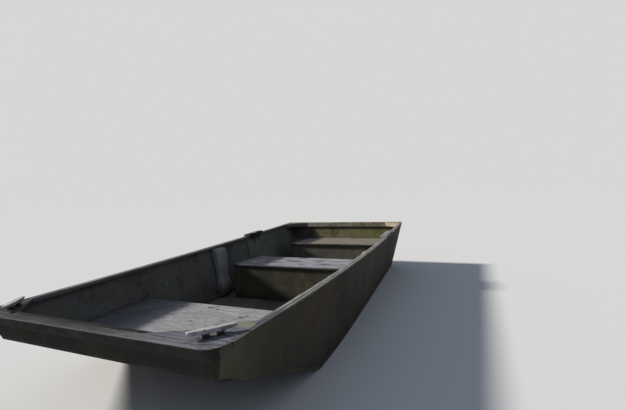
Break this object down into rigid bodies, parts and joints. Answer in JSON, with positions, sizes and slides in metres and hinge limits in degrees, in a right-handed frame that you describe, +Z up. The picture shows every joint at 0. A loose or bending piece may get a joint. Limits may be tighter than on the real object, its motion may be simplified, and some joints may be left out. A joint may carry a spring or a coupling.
{
  "type": "flat-bottomed rowing boat",
  "caption": "Open plywood rowing boat with a flat bottom, a ramped cut-off bow, box seats across the hull, a low bow platform, horn cleats and rowlock pads.",
  "frame": {"origin": "centre of the boat's length and width, on the plane of the flat bottom", "axes": "+X to the bow, +Y to port, +Z up"},
  "size_m": [3.05, 1.356, 0.468],
  "materials": {
    "hull_paint": "weathered grey paint on plywood",
    "rail_paint": "worn grey paint on timber strips",
    "worn_top": "bleached bare plywood with paint remnants",
    "box_front": "damp painted plywood with green algae",
    "fitting_metal": "dull weathered galvanised metal"
  },
  "bodies": {
    "root": {"bottom_panel": "hull_paint", "bow_ramp_panel": "hull_paint", "transom": "hull_paint", "bow_board": "hull_paint", "side_port": "hull_paint", "side_starboard": "hull_paint", "side_doubler_port": "hull_paint", "side_doubler_starboard": "hull_paint", "side_frame_port": "hull_paint", "side_frame_starboard": "hull_paint", "chine_log_port": "hull_paint", "chine_log_starboard": "hull_paint", "bow_rub_rail": "rail_paint", "bow_inner_rail": "rail_paint", "stern_rail": "rail_paint", "inwale_port": "rail_paint", "inwale_starboard": "rail_paint", "bow_gusset_port": "rail_paint", "bow_gusset_starboard": "rail_paint", "quarter_knee_port": "rail_paint", "quarter_knee_starboard": "rail_paint", "rowlock_pad_port": "rail_paint", "rowlock_pad_starboard": "rail_paint", "thwart_top": "worn_top", "stern_seat_top": "worn_top", "platform_deck": "worn_top", "thwart_front_panel": "box_front", "thwart_rear_panel": "box_front", "thwart_end_panel_port": "box_front", "thwart_end_panel_starboard": "box_front", "stern_seat_front_panel": "box_front", "stern_seat_end_panel_port": "box_front", "stern_seat_end_panel_starboard": "box_front", "platform_bulkhead": "box_front", "rowlock_socket_port": "fitting_metal", "rowlock_socket_starboard": "fitting_metal", "bow_cleat_port": "fitting_metal", "bow_cleat_starboard": "fitting_metal"}
  },
  "joints": []
}
